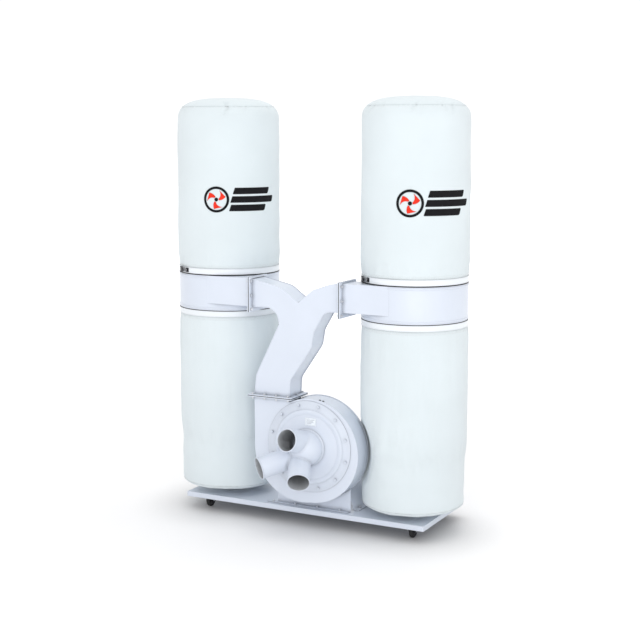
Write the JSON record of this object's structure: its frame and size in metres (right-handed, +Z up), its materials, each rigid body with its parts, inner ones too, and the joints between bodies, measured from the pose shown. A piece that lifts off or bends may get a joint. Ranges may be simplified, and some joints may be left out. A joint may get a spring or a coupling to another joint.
{
  "type": "dust collector",
  "caption": "Wheeled twin-bag dust collector: a direct-drive blower with a three-way hose inlet feeds a Y duct and ring-mounted filter and collection bags.",
  "frame": {"origin": "on the floor, under the middle of the object's box", "axes": "+Z up; -Y is the front, where the hose ports face; +X is to the right as seen from the front"},
  "size_m": [1.488, 0.7496, 2.0097],
  "materials": {
    "light_paint": "smooth satin powder coat",
    "bag_cloth": "white needle-felt filter cloth",
    "zinc_steel": "zinc plated",
    "dark_steel": "black oxide",
    "motor_paint": "satin paint on cast metal",
    "winding": "lamination stack with varnished windings",
    "black_rubber": "matt",
    "black_plastic": "fine grain",
    "green_plastic": "moulded",
    "red_plastic": "moulded",
    "label_white": "printed film"
  },
  "bodies": {
    "chassis": {"base_plate": "light_paint", "blower_casing": "light_paint", "cable_gland": "black_plastic", "casing_saddle": "light_paint", "caster_front_left_plate": "zinc_steel", "caster_front_right_plate": "zinc_steel", "caster_rear_left_plate": "zinc_steel", "caster_rear_right_plate": "zinc_steel", "fan_cowl": "motor_paint", "front_bearing": "zinc_steel", "inlet_manifold": "light_paint", "inlet_plate": "light_paint", "label_plate": "label_white", "left_duct_gasket": "black_rubber", "left_lower_bag": "bag_cloth", "left_lower_band": "zinc_steel", "left_ring": "light_paint", "left_ring_post": "light_paint", "left_upper_bag": "bag_cloth", "left_upper_band": "zinc_steel", "motor_frame": "motor_paint", "motor_front_shield": "motor_paint", "motor_rear_shield": "motor_paint", "motor_stand": "light_paint", "outlet_gasket": "black_rubber", "rear_bearing": "zinc_steel", "right_duct_gasket": "black_rubber", "right_lower_bag": "bag_cloth", "right_lower_band": "zinc_steel", "right_ring": "light_paint", "right_ring_post": "light_paint", "right_upper_bag": "bag_cloth", "right_upper_band": "zinc_steel", "stator_core": "winding", "switch_box": "black_plastic", "y_duct": "light_paint"},
    "rotor": {"motor_shaft": "zinc_steel", "rotor_core": "dark_steel", "impeller": "zinc_steel", "impeller_bolt": "zinc_steel", "cooling_fan": "black_plastic"},
    "caster_front_left_swivel": {"caster_front_left_fork": "zinc_steel", "caster_front_left_axle": "zinc_steel"},
    "caster_front_left_roller": {"caster_front_left_wheel": "black_rubber"},
    "caster_front_right_swivel": {"caster_front_right_fork": "zinc_steel", "caster_front_right_axle": "zinc_steel"},
    "caster_front_right_roller": {"caster_front_right_wheel": "black_rubber"},
    "caster_rear_left_swivel": {"caster_rear_left_fork": "zinc_steel", "caster_rear_left_axle": "zinc_steel"},
    "caster_rear_left_roller": {"caster_rear_left_wheel": "black_rubber"},
    "caster_rear_right_swivel": {"caster_rear_right_fork": "zinc_steel", "caster_rear_right_axle": "zinc_steel"},
    "caster_rear_right_roller": {"caster_rear_right_wheel": "black_rubber"},
    "left_upper_latch": {"left_upper_latch_lever": "dark_steel"},
    "right_upper_latch": {"right_upper_latch_lever": "dark_steel"},
    "left_lower_latch": {"left_lower_latch_lever": "dark_steel"},
    "right_lower_latch": {"right_lower_latch_lever": "dark_steel"},
    "start_push": {"start_button": "green_plastic"},
    "stop_push": {"stop_button": "red_plastic"}
  },
  "joints": [
    {"name": "rotor_spin", "type": "hinge", "parent": "chassis", "child": "rotor", "pos_m": [0.076, 0, 0.405], "axis": [0, 1, 0], "continuous": true},
    {"name": "caster_front_left_turn", "type": "hinge", "parent": "chassis", "child": "caster_front_left_swivel", "pos_m": [-0.551, -0.055, 0.0815], "axis": [0, 0, 1], "continuous": true},
    {"name": "caster_front_left_roll", "type": "hinge", "parent": "caster_front_left_swivel", "child": "caster_front_left_roller", "pos_m": [-0.551, -0.03, 0.0315], "axis": [1, 0, 0], "continuous": true},
    {"name": "caster_front_right_turn", "type": "hinge", "parent": "chassis", "child": "caster_front_right_swivel", "pos_m": [0.551, -0.055, 0.0815], "axis": [0, 0, 1], "continuous": true},
    {"name": "caster_front_right_roll", "type": "hinge", "parent": "caster_front_right_swivel", "child": "caster_front_right_roller", "pos_m": [0.551, -0.03, 0.0315], "axis": [1, 0, 0], "continuous": true},
    {"name": "caster_rear_left_turn", "type": "hinge", "parent": "chassis", "child": "caster_rear_left_swivel", "pos_m": [-0.551, 0.289, 0.0815], "axis": [0, 0, 1], "continuous": true},
    {"name": "caster_rear_left_roll", "type": "hinge", "parent": "caster_rear_left_swivel", "child": "caster_rear_left_roller", "pos_m": [-0.551, 0.314, 0.0315], "axis": [1, 0, 0], "continuous": true},
    {"name": "caster_rear_right_turn", "type": "hinge", "parent": "chassis", "child": "caster_rear_right_swivel", "pos_m": [0.551, 0.289, 0.0815], "axis": [0, 0, 1], "continuous": true},
    {"name": "caster_rear_right_roll", "type": "hinge", "parent": "caster_rear_right_swivel", "child": "caster_rear_right_roller", "pos_m": [0.551, 0.314, 0.0315], "axis": [1, 0, 0], "continuous": true},
    {"name": "left_upper_latch_swing", "type": "hinge", "parent": "chassis", "child": "left_upper_latch", "pos_m": [-0.65351, -0.11668, 1.19675], "axis": [0, 0, -1], "range_deg": [0, 150]},
    {"name": "right_upper_latch_swing", "type": "hinge", "parent": "chassis", "child": "right_upper_latch", "pos_m": [0.30626, -0.08325, 1.19675], "axis": [0, 0, -1], "range_deg": [0, 150]},
    {"name": "left_lower_latch_swing", "type": "hinge", "parent": "chassis", "child": "left_lower_latch", "pos_m": [-0.69162, 0.24588, 0.99275], "axis": [0, 0, -1], "range_deg": [0, 150]},
    {"name": "right_lower_latch_swing", "type": "hinge", "parent": "chassis", "child": "right_lower_latch", "pos_m": [0.30338, 0.24588, 0.99275], "axis": [0, 0, -1], "range_deg": [0, 150]},
    {"name": "start_press", "type": "slide", "parent": "chassis", "child": "start_push", "axis": [0, -1, 0], "range_m": [0, 0.003], "stiffness_N_per_m": 400, "springref_m": -0.002},
    {"name": "stop_press", "type": "slide", "parent": "chassis", "child": "stop_push", "axis": [0, -1, 0], "range_m": [0, 0.003], "stiffness_N_per_m": 400, "springref_m": -0.002}
  ]
}
